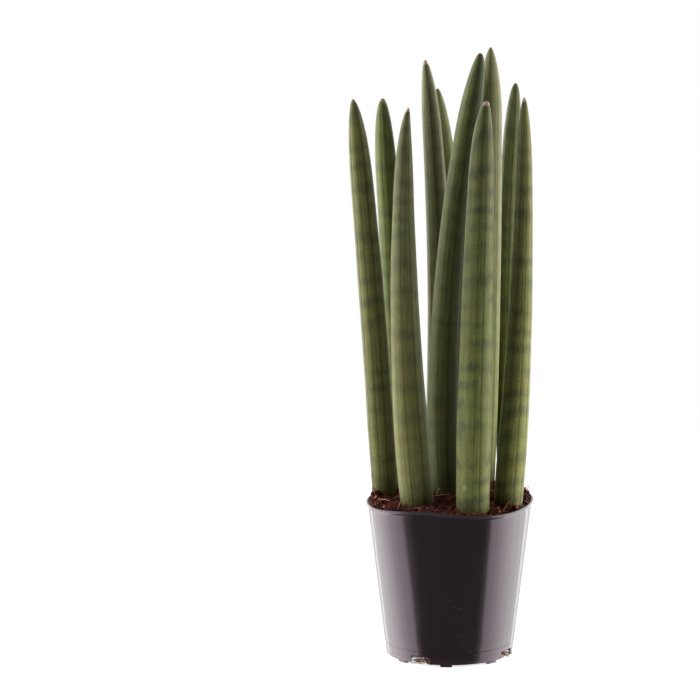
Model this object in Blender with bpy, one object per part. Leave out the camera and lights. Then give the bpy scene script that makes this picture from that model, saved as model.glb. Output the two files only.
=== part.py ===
"""Cylindrical snake plant: ten straight spear leaves rooted in a round black nursery pot.

Frame: metres, +Z up.  The origin is the middle of the pad under the pot, on the
surface that the pot stands on.  -Y is the front, where the rim bulges.
"""
import math
from collections import namedtuple

import bpy
import numpy as np

# ------------------------------------------------------------------ driving sizes, metres
MM = 0.001
GAP = 0.3 * MM                # air between two pieces that touch

RIM_DIAMETER = 120.0 * MM     # outside of the rim's lip
BASE_DIAMETER = 92.4 * MM     # outside of the wall at its bottom edge
POT_HEIGHT = 113.5 * MM       # standing surface to the top of the rim
WALL = 1.1 * MM
LIP_HEIGHT = 2.6 * MM
LIP_PROUD = 0.7 * MM          # how far the lip stands out from the wall
LIP_ROUND = 0.6 * MM

FOOT_COUNT = 8
FOOT_HEIGHT = 1.5 * MM
FOOT_WIDTH = 8.6 * MM
FOOT_DEPTH = 2.0 * MM         # measured towards the axis
FOOT_TURN = -93.0             # degrees, the direction of the front foot
BAND_HEIGHT = 8.7 * MM        # recessed band above the wall's bottom edge
BAND_RECESS = 0.25 * MM
FLOOR_RISE = 3.0 * MM         # floor's underside above the wall's bottom edge
FLOOR_THICKNESS = 1.2 * MM
PAD_DIAMETER = 16.0 * MM      # flat pad under the middle of the floor

SLOT_COUNT = 4
SLOT_WIDTH = 15.4 * MM
SLOT_HEIGHT = 5.4 * MM        # above the wall's bottom edge
SLOT_REACH = 10.0 * MM        # how far a slot runs in under the floor
SLOT_TURN = -117.0            # degrees, about halfway between two feet

MOUND_EDGE = 0.8 * MM         # potting mix above the rim, at the wall
MOUND_RISE = 5.0 * MM         # and how much higher its middle is heaped
MOUND_SLOPE = 0.035           # the mix lies higher towards the back
MOUND_LUMPS = 0.5 * MM

ROOT_DEPTH = 32.0 * MM        # rooted foot of a leaf, below the surface of the mix
ROOT_WAIST = 0.08             # a leaf is this share slimmer where it leaves the mix
WAIST_LENGTH = 18.0 * MM
TIP_LENGTH = 55.0 * MM        # the part of a leaf that draws in to its point
LEAF_CLEARANCE = 0.6 * MM     # least air between two leaves, or a leaf and the wall

POT_SEGMENTS = 64
LEAF_SIDES = 16
MIX_RINGS = 9

# The soft wall is out of round at the top.  Each dent or bulge has its direction and its
# half-width in degrees, how far it pushes the rim out, and how far it pulls the rim down.
Bulge = namedtuple("Bulge", "turn spread out down")
BULGES = (
    Bulge(-62.0, 30.0, 3.8 * MM, 1.5 * MM),
    Bulge(-108.0, 22.0, -1.6 * MM, -0.5 * MM),
    Bulge(-94.0, 42.0, 0.0 * MM, -1.7 * MM),
    Bulge(-148.0, 24.0, 1.4 * MM, 0.9 * MM),
    Bulge(8.0, 26.0, 1.0 * MM, -1.5 * MM),
    Bulge(110.0, 40.0, -0.8 * MM, 0.4 * MM),
)
BULGE_FADE = 1.5              # power with which a bulge dies away towards the base

# One row for each leaf.  root: where it leaves the mix, in shares of the rim's inside
# radius.  lean: how far the tip stands from the root.  height: tip above the rim.
# bow: sideways bend at mid-length.  girth: thickness at the root and, if the leaf ended
# without a point, at the tip.  fullness: how long the leaf keeps its root thickness.
Leaf = namedtuple("Leaf", "name root lean height bow girth fullness")
LEAVES = (
    Leaf("leaf_01", (-0.806, 0.03), (-20.6, -8.0), 290.0, (1.7, 0.0), (18.3, 13.2), 3.0),
    Leaf("leaf_02", (-0.596, 0.41), (-14.3, 6.0), 287.5, (1.4, 0.0), (18.0, 14.3), 2.5),
    Leaf("leaf_03", (-0.39, -0.46), (-8.0, -3.0), 286.0, (-4.9, 0.0), (25.2, 9.2), 1.6),
    Leaf("leaf_04", (-0.166, 0.62), (-7.2, -6.0), 315.0, (5.8, 0.0), (18.2, 11.0), 2.5),
    Leaf("leaf_05", (0.144, 0.79), (-17.2, 4.0), 293.0, (5.9, 0.0), (15.0, 12.0), 2.0),
    Leaf("leaf_06", (-0.024, 0.03), (24.0, -2.0), 322.0, (-9.3, 0.0), (26.4, 13.6), 2.0),
    Leaf("leaf_07", (0.446, 0.52), (5.1, -18.0), 325.5, (1.2, 0.0), (19.2, 16.5), 2.5),
    Leaf("leaf_08", (0.284, -0.71), (7.6, 6.0), 291.0, (-0.7, 0.0), (24.7, 14.6), 1.9),
    Leaf("leaf_09", (0.698, 0.50), (6.2, 26.0), 296.5, (-3.4, 4.0), (14.2, 13.0), 2.0),
    Leaf("leaf_10", (0.722, -0.34), (11.0, 10.0), 291.5, (3.4, 0.0), (22.0, 8.8), 1.2),
)

# ------------------------------------------------------------------ start from an empty scene
for old in list(bpy.data.objects):
    bpy.data.objects.remove(old, do_unlink=True)


# ------------------------------------------------------------------ pieces and materials
def plastic_or_leaf(name, rgb, roughness):
    """A Principled material with one colour and roughness."""
    material = bpy.data.materials.new(name)
    material.use_nodes = True
    shader = material.node_tree.nodes["Principled BSDF"]
    shader.inputs["Base Color"].default_value = (*rgb, 1.0)
    shader.inputs["Roughness"].default_value = roughness
    shader.inputs["Metallic"].default_value = 0.0
    return material


def add_piece(name, points, faces, material=None, sharp_angle=40.0):
    """Put one closed mesh into the scene, shaded smooth except at its real edges."""
    mesh = bpy.data.meshes.new(name)
    mesh.from_pydata(points.tolist(), [], faces)
    mesh.shade_smooth()
    mesh.set_sharp_from_angle(angle=math.radians(sharp_angle))
    if material is not None:
        mesh.materials.append(material)
    piece = bpy.data.objects.new(name, mesh)
    bpy.context.scene.collection.objects.link(piece)
    return piece


def use_as_cutter(piece, target, operation):
    """Combine a hidden solid with a piece by an exact Boolean."""
    piece.hide_render = True
    piece.display_type = "WIRE"
    boolean = target.modifiers.new(piece.name, "BOOLEAN")
    boolean.operation = operation
    boolean.solver = "EXACT"
    boolean.object = piece


def ring_faces(rings, sides):
    """Quads between closed rings that follow each other, first ring lowest or innermost."""
    faces = []
    for ring in range(rings - 1):
        for side in range(sides):
            after = (side + 1) % sides
            low, high = ring * sides, (ring + 1) * sides
            faces.append((low + side, low + after, high + after, high + side))
    return faces


def closed_skin(rings, first_pole, last_pole):
    """Points and faces of a body of rings (rings x sides x 3) closed by a pole at each end."""
    count, sides = rings.shape[:2]
    points = np.vstack([rings.reshape(-1, 3), first_pole, last_pole])
    first, last = count * sides, count * sides + 1
    faces = ring_faces(count, sides)
    top = (count - 1) * sides
    for side in range(sides):
        after = (side + 1) % sides
        faces.append((first, after, side))
        faces.append((last, top + side, top + after))
    return points, faces


def turned_boxes(count, first_turn, inner, outer, width, bottom, top):
    """Boxes spaced evenly round the axis, from an inner to an outer distance."""
    points, faces = [], []
    for index in range(count):
        turn = math.radians(first_turn + 360.0 * index / count)
        away = np.array([math.cos(turn), math.sin(turn)])
        aside = np.array([-math.sin(turn), math.cos(turn)])
        corners = [
            away * reach + aside * shift
            for reach, shift in (
                (inner, -width / 2), (outer, -width / 2), (outer, width / 2), (inner, width / 2))
        ]
        start = len(points)
        points += [(*corner, bottom) for corner in corners]
        points += [(*corner, top) for corner in corners]
        faces += [tuple(start + k for k in quad) for quad in (
            (0, 3, 2, 1), (4, 5, 6, 7), (0, 1, 5, 4), (1, 2, 6, 5), (2, 3, 7, 6), (3, 0, 4, 7))]
    return np.array(points), faces


# ------------------------------------------------------------------ shape of the wall
TOP_RADIUS = RIM_DIAMETER / 2 - LIP_PROUD
FLOOR_BOTTOM = FOOT_HEIGHT + FLOOR_RISE
FLOOR_TOP = FLOOR_BOTTOM + FLOOR_THICKNESS
TURNS = np.linspace(0.0, 2 * math.pi, POT_SEGMENTS, endpoint=False)


def wall_radius(height):
    """Outside of the tapered wall before it is pushed out of round."""
    share = (height - FOOT_HEIGHT) / (POT_HEIGHT - FOOT_HEIGHT)
    return BASE_DIAMETER / 2 + (TOP_RADIUS - BASE_DIAMETER / 2) * share


def out_of_round(turn, kind):
    """Sum of the bulges' pushes in one direction, kind is out or down."""
    total = 0.0
    for bulge in BULGES:
        away = (np.degrees(turn) - bulge.turn + 180.0) % 360.0 - 180.0
        total = total + getattr(bulge, kind) * np.exp(-(away / bulge.spread) ** 2)
    return total


def fade(height):
    """How much of the rim's bulges is left at a height."""
    return np.clip(height / POT_HEIGHT, 0.0, 1.0) ** BULGE_FADE


def inside_radius(height, turn):
    """Distance from the axis to the inside of the wall."""
    return wall_radius(height) - WALL + out_of_round(turn, "out") * fade(height)


def pot_ring(radius, height):
    """One turned ring of the pot, pushed out of round."""
    swell = radius + out_of_round(TURNS, "out") * fade(height)
    drop = height - out_of_round(TURNS, "down") * fade(height)
    return np.stack([swell * np.cos(TURNS), swell * np.sin(TURNS), drop], axis=1)


# ------------------------------------------------------------------ pot
def make_pot():
    """Injection-moulded pot: one turned profile, then feet are added and slots are cut."""
    edge = FOOT_HEIGHT
    band_top = edge + BAND_HEIGHT
    lip_bottom = POT_HEIGHT - LIP_HEIGHT
    lip_outside = RIM_DIAMETER / 2
    inside_top = TOP_RADIUS - WALL
    skirt_inside = wall_radius(edge) - BAND_RECESS - WALL
    profile = [
        (PAD_DIAMETER / 2, 0.0),
        (PAD_DIAMETER / 2, FLOOR_BOTTOM),
        (skirt_inside, FLOOR_BOTTOM),
        (skirt_inside, edge),
        (wall_radius(edge) - BAND_RECESS, edge),
        (wall_radius(band_top) - BAND_RECESS, band_top),
        (wall_radius(band_top + BAND_RECESS), band_top + BAND_RECESS),
    ]
    wall_heights = np.linspace(band_top + BAND_RECESS, lip_bottom, 6)[1:]
    profile += [(wall_radius(height), height) for height in wall_heights]
    profile += [
        (lip_outside - LIP_ROUND / 3, lip_bottom + LIP_PROUD / 3),
        (lip_outside, lip_bottom + LIP_PROUD),
        (lip_outside, POT_HEIGHT - LIP_ROUND),
        (lip_outside - LIP_ROUND * 0.3, POT_HEIGHT - LIP_ROUND * 0.3),
        (lip_outside - LIP_ROUND, POT_HEIGHT),
        (inside_top + LIP_ROUND / 2, POT_HEIGHT),
        (inside_top, POT_HEIGHT - LIP_ROUND / 2),
    ]
    inner_heights = np.linspace(POT_HEIGHT - LIP_ROUND / 2, FLOOR_TOP, 6)[1:]
    profile += [(wall_radius(height) - WALL, height) for height in inner_heights]
    rings = np.array([pot_ring(radius, height) for radius, height in profile])
    points, faces = closed_skin(rings, (0.0, 0.0, 0.0), (0.0, 0.0, FLOOR_TOP))
    pot = add_piece("pot", points, faces, plastic_or_leaf("black_pot", (0.02, 0.019, 0.021), 0.3))

    outer = wall_radius(edge) - BAND_RECESS - GAP
    feet = add_piece("foot_blocks", *turned_boxes(
        FOOT_COUNT, FOOT_TURN, outer - FOOT_DEPTH, outer, FOOT_WIDTH, 0.0, edge + FOOT_HEIGHT))
    use_as_cutter(feet, pot, "UNION")
    slots = add_piece("slot_cutters", *turned_boxes(
        SLOT_COUNT, SLOT_TURN, outer - SLOT_REACH, wall_radius(edge + SLOT_HEIGHT) + WALL,
        SLOT_WIDTH, -edge, edge + SLOT_HEIGHT))
    use_as_cutter(slots, pot, "DIFFERENCE")


# ------------------------------------------------------------------ potting mix
def mix_height(x, y):
    """Surface of the heaped mix: a low dome, higher at the back, with small lumps."""
    share = np.hypot(x, y) / inside_radius(POT_HEIGHT, np.arctan2(y, x))
    dome = (1.0 + 2.0 * y / RIM_DIAMETER) * MOUND_RISE * (1.0 - share ** 2)
    lumps = MOUND_LUMPS * np.sin(x / (5.2 * MM)) * np.cos(y / (6.1 * MM) + x / (17.0 * MM))
    rim_drop = out_of_round(np.arctan2(y, x), "down") * share ** 4
    return POT_HEIGHT + MOUND_EDGE + MOUND_SLOPE * y + dome + lumps - rim_drop


def make_mix(pocket_shapes):
    """Potting mix: fills the pot to its wall, heaped on top, with a pocket for each leaf."""
    rings = []
    for height in np.linspace(FLOOR_TOP + GAP, POT_HEIGHT - LIP_ROUND, 6):
        radius = inside_radius(height, TURNS) - GAP
        drop = height - out_of_round(TURNS, "down") * fade(height)
        rings.append(np.stack([radius * np.cos(TURNS), radius * np.sin(TURNS), drop], axis=1))
    edge_radius = inside_radius(POT_HEIGHT, TURNS) - GAP
    for share in np.linspace(1.0, 0.0, MIX_RINGS, endpoint=False):
        x, y = edge_radius * share * np.cos(TURNS), edge_radius * share * np.sin(TURNS)
        rings.append(np.stack([x, y, mix_height(x, y)], axis=1))
    middle = (0.0, 0.0, float(mix_height(np.float64(0.0), np.float64(1e-9))))
    points, faces = closed_skin(np.array(rings), (0.0, 0.0, FLOOR_TOP + GAP), middle)
    mix = add_piece("potting_mix", points, faces, plastic_or_leaf("coir_mix", (0.09, 0.03, 0.015), 0.95))
    for name, (points, faces) in pocket_shapes.items():
        use_as_cutter(add_piece(name, points, faces), mix, "DIFFERENCE")


# ------------------------------------------------------------------ leaves
def leaf_spine(leaf):
    """Root, tip and bow of a leaf as points in metres."""
    reach = inside_radius(POT_HEIGHT, 0.0) - out_of_round(0.0, "out")
    root = np.array([leaf.root[0] * reach, leaf.root[1] * reach])
    foot = np.array([*root, float(mix_height(root[0], root[1]))])
    tip = np.array([*(root + np.array(leaf.lean) * MM), POT_HEIGHT + leaf.height * MM])
    return foot, tip, np.array([*leaf.bow, 0.0]) * MM


def leaf_section(leaf, along, spare=0.0):
    """Centre and radius of a leaf at a distance above its root, negative below the mix.

    The centre line is a straight lean with a parabolic bow.  The radius goes from the root
    to the tip girth by a power curve, times a quarter ellipse that closes the point, with
    a slight waist at the surface and a rounded foot below it.
    """
    foot, tip, bow = leaf_spine(leaf)
    length = np.linalg.norm(tip - foot)
    share = along / length
    centre = foot + (tip - foot) * share[:, None] + bow * (4 * share * (1 - share))[:, None]
    thick, thin = leaf.girth[0] * MM, leaf.girth[1] * MM
    body = thick + (thin - thick) * np.clip(share, 0.0, 1.0) ** leaf.fullness
    point = np.clip((length - along) / TIP_LENGTH, 0.0, 1.0)
    waist = 1.0 - ROOT_WAIST * np.exp(-(along / WAIST_LENGTH) ** 2)
    rooted = np.clip(-along / ROOT_DEPTH, 0.0, 1.0)
    radius = body / 2 * waist * np.sqrt(1 - (1 - point) ** 2) * np.sqrt(1 - rooted ** 2.5)
    return centre, radius + spare


def leaf_skin(leaf, spare=0.0):
    """Closed skin of one leaf; spare makes it thicker all over, for its pocket."""
    foot, tip, _ = leaf_spine(leaf)
    length = np.linalg.norm(tip - foot)
    below = -ROOT_DEPTH * np.sin(np.linspace(0.92, 0.0, 6) * math.pi / 2)
    body = np.linspace(0.0, length - TIP_LENGTH, 9)[1:]
    point = length - TIP_LENGTH * (1 - np.sin(np.linspace(0.0, 0.9, 6) * math.pi / 2))[1:]
    along = np.concatenate([below, body, point])
    centre, radius = leaf_section(leaf, along, spare)
    ahead = leaf_section(leaf, along + MM)[0] - leaf_section(leaf, along - MM)[0]
    ahead /= np.linalg.norm(ahead, axis=1)[:, None]
    side = np.array([1.0, 0.0, 0.0]) - ahead * ahead[:, :1]
    side /= np.linalg.norm(side, axis=1)[:, None]
    across = np.cross(ahead, side)
    turn = np.linspace(0.0, 2 * math.pi, LEAF_SIDES, endpoint=False)[None, :, None]
    rings = centre[:, None] + radius[:, None, None] * (
        np.cos(turn) * side[:, None] + np.sin(turn) * across[:, None])
    bottom = leaf_section(leaf, np.array([-ROOT_DEPTH]))[0][0] - (0.0, 0.0, spare)
    return closed_skin(rings, bottom, tip + np.array([0.0, 0.0, spare]))


def at_heights(leaf, heights):
    """Centre and radius of a leaf where it crosses level planes, radius 0 where it does not."""
    foot, tip, _ = leaf_spine(leaf)
    along = np.linspace(-ROOT_DEPTH, np.linalg.norm(tip - foot), 80)
    centre, radius = leaf_section(leaf, along)
    x = np.interp(heights, centre[:, 2], centre[:, 0])
    y = np.interp(heights, centre[:, 2], centre[:, 1])
    return np.stack([x, y], axis=1), np.interp(heights, centre[:, 2], radius, left=0.0, right=0.0)


def crowding(centres, radii, heights):
    """How far each leaf has to move so that it clears its neighbours and the wall."""
    moves = np.zeros((len(centres), 2))
    below_rim = heights <= POT_HEIGHT
    for one in range(len(centres)):
        for two in range(one + 1, len(centres)):
            apart = centres[two] - centres[one]
            distance = np.linalg.norm(apart, axis=1)
            both = (radii[one] > 0) & (radii[two] > 0)
            lack = np.where(both, radii[one] + radii[two] + LEAF_CLEARANCE - distance, 0.0)
            worst = int(np.argmax(lack))
            if lack[worst] > 0:
                push = apart[worst] / distance[worst] * lack[worst] / 2
                moves[one] -= push
                moves[two] += push
        away = np.linalg.norm(centres[one], axis=1)
        turn = np.arctan2(centres[one][:, 1], centres[one][:, 0])
        room = inside_radius(heights, turn) - GAP - LEAF_CLEARANCE
        lack = np.where(below_rim & (radii[one] > 0), away + radii[one] - room, 0.0)
        worst = int(np.argmax(lack))
        if lack[worst] > 0:
            moves[one] -= centres[one][worst] / away[worst] * lack[worst]
    return moves


def settled(leaves):
    """Shift whole leaves sideways until none touches another or the wall."""
    reach = inside_radius(POT_HEIGHT, 0.0) - out_of_round(0.0, "out")
    lowest = POT_HEIGHT - ROOT_DEPTH
    tallest = POT_HEIGHT + max(leaf.height for leaf in leaves) * MM
    heights = np.linspace(lowest, tallest, 60)
    leaves = list(leaves)
    for attempt in range(400):
        sections = [at_heights(leaf, heights) for leaf in leaves]
        moves = crowding([s[0] for s in sections], [s[1] for s in sections], heights)
        if not moves.any():
            break
        for index, leaf in enumerate(leaves):
            root = tuple(np.array(leaf.root) + moves[index] * 1.05 / reach)
            leaves[index] = leaf._replace(root=root)
    return leaves


# ------------------------------------------------------------------ build
placed = settled(LEAVES)
make_pot()
make_mix({"pocket_of_" + leaf.name: leaf_skin(leaf, GAP) for leaf in placed})
leaf_green = plastic_or_leaf("leaf_green", (0.10, 0.14, 0.06), 0.45)
for leaf in placed:
    add_piece(leaf.name, *leaf_skin(leaf), leaf_green)
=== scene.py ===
"""Cylindrical snake plant in a round nursery pot: the fine surfaces and finishes.

Metres, +Z up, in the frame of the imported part.  -Y is the front.
"""

import bpy
import numpy as np
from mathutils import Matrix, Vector


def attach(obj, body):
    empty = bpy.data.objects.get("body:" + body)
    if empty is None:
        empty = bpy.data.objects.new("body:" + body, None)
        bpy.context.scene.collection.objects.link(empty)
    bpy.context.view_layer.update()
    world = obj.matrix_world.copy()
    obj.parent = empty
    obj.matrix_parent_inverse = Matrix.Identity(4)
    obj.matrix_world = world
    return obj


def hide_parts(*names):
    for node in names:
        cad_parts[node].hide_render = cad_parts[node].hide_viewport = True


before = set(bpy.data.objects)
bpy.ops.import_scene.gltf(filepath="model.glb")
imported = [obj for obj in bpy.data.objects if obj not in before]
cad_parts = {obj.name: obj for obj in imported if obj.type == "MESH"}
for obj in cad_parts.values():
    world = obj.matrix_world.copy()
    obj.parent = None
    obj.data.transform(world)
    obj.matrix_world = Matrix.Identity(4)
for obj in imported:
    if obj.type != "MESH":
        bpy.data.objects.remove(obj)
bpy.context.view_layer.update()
MM = 0.001


# ================================================================== pot
# Thin-walled nursery pot of black polypropylene, injection moulded in one shot.  Its wall
# tapers, ends in a small rounded lip, and is soft enough to stand a little out of round.

def triangles(node):
    """The corners of a CAD node's triangles, as an array of triangle, corner, x y z."""
    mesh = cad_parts[node].data
    mesh.calc_loop_triangles()
    corners = np.empty(len(mesh.loop_triangles) * 3, np.int32)
    mesh.loop_triangles.foreach_get("vertices", corners)
    points = np.empty(len(mesh.vertices) * 3, np.float32)
    mesh.vertices.foreach_get("co", points)
    return points.reshape(-1, 3)[corners].reshape(-1, 3, 3).astype(float)


def level_cut(faces, height):
    """Points where triangles cross a level plane: on each edge whose ends lie on both
    sides, the point at the share of its length where its height is the plane's."""
    start, end = faces, np.roll(faces, -1, axis=1)
    below, above = start[..., 2] - height, end[..., 2] - height
    crosses = (below < 0) != (above < 0)
    share = below[crosses] / (below[crosses] - above[crosses])
    return start[crosses] + (end[crosses] - start[crosses]) * share[:, None]


def round_waves(turn, count=9):
    """Cosines and sines of whole multiples of an angle, the terms of a closed curve."""
    turn = np.asarray(turn, float)[..., None] * np.arange(count)
    return np.concatenate([np.cos(turn), np.sin(turn[..., 1:])], axis=-1)


pot_faces = triangles("pot")
pot_normals = np.cross(pot_faces[:, 1] - pot_faces[:, 0], pot_faces[:, 2] - pot_faces[:, 0])
pot_middles = pot_faces.mean(axis=1)
facing_out = (pot_normals[:, :2] * pot_middles[:, :2]).sum(axis=1) > 0
outer_faces = pot_faces[facing_out]

POT_WALL = 1.1 * MM
POT_LIP = 2.6 * MM
LIP_PROUD = 0.7 * MM
FOOT = 1.5 * MM
BAND_TOP = 10.2 * MM
BAND_RECESS = 0.25 * MM
FLOOR_UNDER, FLOOR_OVER = 4.5 * MM, 5.7 * MM
PAD_RADIUS = 8.0 * MM
WALL_AT_LEAST = 40.0 * MM     # anything nearer the axis is floor, not wall
cut_heights = np.linspace(18.0, 104.0, 9) * MM
wall_terms = []
for cut_height in cut_heights:
    cut = level_cut(outer_faces, cut_height)
    cut = cut[np.hypot(cut[:, 0], cut[:, 1]) > WALL_AT_LEAST]
    wall_terms.append(np.linalg.lstsq(
        round_waves(np.arctan2(cut[:, 1], cut[:, 0])), np.hypot(cut[:, 0], cut[:, 1]),
        rcond=None)[0])
wall_fit = np.polyfit(cut_heights, np.array(wall_terms), 2)


def wall_radius(turn, height):
    """Outside of the wall: a closed curve in the angle whose terms are parabolas in the
    height, fitted to the CAD wall."""
    height = np.asarray(height, float)[..., None]
    terms = wall_fit[0] * height ** 2 + wall_fit[1] * height + wall_fit[2]
    return (round_waves(turn) * terms).sum(axis=-1)


CAD_SEGMENTS = 64             # upright columns of corners in the CAD pot
cad_turns = np.arange(CAD_SEGMENTS) * 2 * np.pi / CAD_SEGMENTS
corners = pot_faces.reshape(-1, 3)
corner_turns = np.arctan2(corners[:, 1], corners[:, 0])
columns = np.round(corner_turns / (2 * np.pi / CAD_SEGMENTS)).astype(int) % CAD_SEGMENTS
rim_heights = np.array([corners[columns == index, 2].max() for index in range(CAD_SEGMENTS)])
rim_terms = np.linalg.lstsq(round_waves(cad_turns), rim_heights, rcond=None)[0]
RIM = float(rim_terms[0])


def rim_rise(turn, height):
    """How far the warped rim lifts the wall: all of it at the rim, less lower down."""
    return (round_waves(turn) @ rim_terms - RIM) * np.clip(height / RIM, 0.0, 1.0) ** 1.5


def arc_corner(before, corner, after, radius, steps=4):
    """Points of a quadratic curve that rounds a corner between two straight stretches."""
    before, corner, after = (np.array(p, float) for p in (before, corner, after))
    first = corner + (before - corner) / np.linalg.norm(before - corner) * radius
    last = corner + (after - corner) / np.linalg.norm(after - corner) * radius
    share = np.linspace(0.0, 1.0, steps)[:, None]
    return (1 - share) ** 2 * first + 2 * share * (1 - share) * corner + share ** 2 * last


def rounded_profile(points, radii, steps=4):
    """A polyline with each inner corner rounded by its own radius."""
    out = [np.array([points[0]])]
    for before, corner, after, radius in zip(points, points[1:], points[2:], radii):
        out.append(arc_corner(before, corner, after, radius, steps) if radius else [corner])
    out.append(np.array([points[-1]]))
    return np.vstack(out)


def fill_in(points, longest):
    """Splits the stretches of a profile that are longer than a given length."""
    out = [points[0]]
    for start, end in zip(points, points[1:]):
        parts = max(1, int(np.ceil(np.linalg.norm(end - start) / longest)))
        out += [start + (end - start) * k / parts for k in range(1, parts + 1)]
    return np.array(out)


def ring_quads(rings, sides):
    """Quads between closed rings, each ring joined to the next."""
    ring, side = np.meshgrid(np.arange(rings - 1), np.arange(sides), indexing="ij")
    after = (side + 1) % sides
    quads = np.stack([ring * sides + side, ring * sides + after,
                      (ring + 1) * sides + after, (ring + 1) * sides + side], axis=-1)
    return quads.reshape(-1, 4)


def store(mesh, name, values):
    """Keeps one number, or three, for each vertex in a named attribute of the mesh."""
    values = np.ascontiguousarray(values, np.float32)
    kind, key = ("FLOAT", "value") if values.ndim == 1 else ("FLOAT_VECTOR", "vector")
    mesh.attributes.new(name, kind, "POINT").data.foreach_set(key, values.reshape(-1))


def new_piece(name, points, faces, material, smooth_below=40.0):
    """A mesh object at the origin, shaded smooth except over edges sharper than an angle."""
    mesh = bpy.data.meshes.new(name)
    mesh.from_pydata(points, [], faces)
    mesh.update()
    mesh.shade_smooth()
    mesh.set_sharp_from_angle(angle=np.radians(smooth_below))
    mesh.materials.append(material)
    piece = bpy.data.objects.new(name, mesh)
    bpy.context.scene.collection.objects.link(piece)
    return piece


def capped_rings(rings):
    """Points and faces of a body of rings, each end closed with a fan to its middle."""
    count, sides = rings.shape[:2]
    points = np.vstack([rings.reshape(-1, 3), rings[0].mean(axis=0), rings[-1].mean(axis=0)])
    side = np.arange(sides)
    after = (side + 1) % sides
    low = np.stack([np.full(sides, count * sides), after, side], axis=1)
    top = (count - 1) * sides
    high = np.stack([np.full(sides, count * sides + 1), top + side, top + after], axis=1)
    faces = ring_quads(count, sides).tolist() + low.tolist() + high.tolist()
    return points, faces


def linear(code):
    """sRGB hex to linear: the low values over 12.92, the others by the 2.4 power."""
    channels = np.array([int(code[k:k + 2], 16) for k in (1, 3, 5)]) / 255.0
    low = channels <= 0.04045
    return (*np.where(low, channels / 12.92, ((channels + 0.055) / 1.055) ** 2.4), 1.0)


def add(tree, kind, settings=(), inputs=(), stops=()):
    """Adds one node, sets its properties, and sets or links its inputs; stops are the
    places and colours of a ramp."""
    made = tree.nodes.new("ShaderNode" + kind)
    for name, value in dict(settings).items():
        setattr(made, name, value)
    for socket, value in dict(inputs).items():
        if isinstance(value, bpy.types.NodeSocket):
            tree.links.new(value, made.inputs[socket])
        else:
            made.inputs[socket].default_value = value
    for index, (place, colour) in enumerate(stops):
        ramp = made.color_ramp.elements
        stop = ramp[index] if index < 2 else ramp.new(place)
        stop.position, stop.color = place, colour
    return made


def new_material(name):
    """An empty node material and its tree."""
    material = bpy.data.materials.new(name)
    material.use_nodes = True
    material.node_tree.nodes.clear()
    return material, material.node_tree


def grey(value):
    """A ramp colour with equal channels."""
    return (value, value, value, 1.0)


# Moulded polypropylene: near-black, smooth from the polished mould, so that it mirrors the
# lights softly.  Handling leaves pale scuffs, most of all on the lip, and watering leaves
# brown dust along the foot of the wall.
pot_material, tree = new_material("moulded black polypropylene")
place = add(tree, "TexCoord").outputs["Object"]
lip = add(tree, "Attribute", {"attribute_name": "lip"}).outputs["Fac"]
height = add(tree, "SeparateXYZ", inputs={0: place}).outputs["Z"]
orange_peel = add(tree, "TexNoise", inputs={"Vector": place, "Scale": 120.0, "Detail": 2.0})
scuff_lines = add(tree, "Mapping", inputs={"Vector": place, "Scale": (1.0, 1.0, 3.0)}).outputs[0]
scuffs = add(tree, "TexNoise", inputs={"Vector": scuff_lines, "Scale": 150.0, "Detail": 8.0,
                                       "Roughness": 0.75, "Distortion": 1.2})
scuff_mask = add(tree, "ValToRGB", inputs={"Fac": scuffs.outputs[0]},
                 stops=((0.56, grey(0.0)), (0.72, grey(1.0))))
patches = add(tree, "TexNoise", inputs={"Vector": place, "Scale": 30.0, "Detail": 3.0})
patch_mask = add(tree, "ValToRGB", inputs={"Fac": patches.outputs[0]},
                 stops=((0.46, grey(0.0)), (0.68, grey(1.0))))
scuffed = add(tree, "Math", {"operation": "MULTIPLY"},
              {0: scuff_mask.outputs[0], 1: patch_mask.outputs[0]})
lip_wear = add(tree, "Math", {"operation": "MULTIPLY_ADD", "use_clamp": True},
               {0: lip, 1: 0.35, 2: scuffed.outputs[0]})
worn_colour = add(tree, "Mix", {"data_type": "RGBA"},
                  {0: lip_wear.outputs[0], 6: linear("#272124"), 7: linear("#4E4447")})
low_down = add(tree, "MapRange", {"interpolation_type": "SMOOTHSTEP"},
               {"Value": height, "From Min": 1.0 * MM, "From Max": 9.0 * MM,
                "To Min": 0.55, "To Max": 0.0})
grit = add(tree, "TexNoise", inputs={"Vector": place, "Scale": 420.0, "Detail": 5.0,
                                     "Roughness": 0.7})
dust_amount = add(tree, "Math", {"operation": "MULTIPLY"},
                  {0: low_down.outputs[0], 1: grit.outputs[0]})
pot_colour = add(tree, "Mix", {"data_type": "RGBA"},
                 {0: dust_amount.outputs[0], 6: worn_colour.outputs[2], 7: linear("#4E3A32")})
dulled = add(tree, "Math", {"operation": "ADD"},
             {0: lip_wear.outputs[0], 1: dust_amount.outputs[0]})
pot_gloss = add(tree, "MapRange", inputs={"Value": dulled.outputs[0], "To Min": 0.15,
                                          "To Max": 0.42})
pot_bump = add(tree, "Bump", inputs={"Height": orange_peel.outputs[0], "Strength": 0.2,
                                     "Distance": 0.2 * MM})
pot_shader = add(tree, "BsdfPrincipled", inputs={
    "Base Color": pot_colour.outputs[2], "Roughness": pot_gloss.outputs[0],
    "IOR": 1.49, "Specular Tint": (1.0, 0.80, 0.94, 1.0), "Normal": pot_bump.outputs[0]})
add(tree, "OutputMaterial", inputs={"Surface": pot_shader.outputs[0]})

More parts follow.
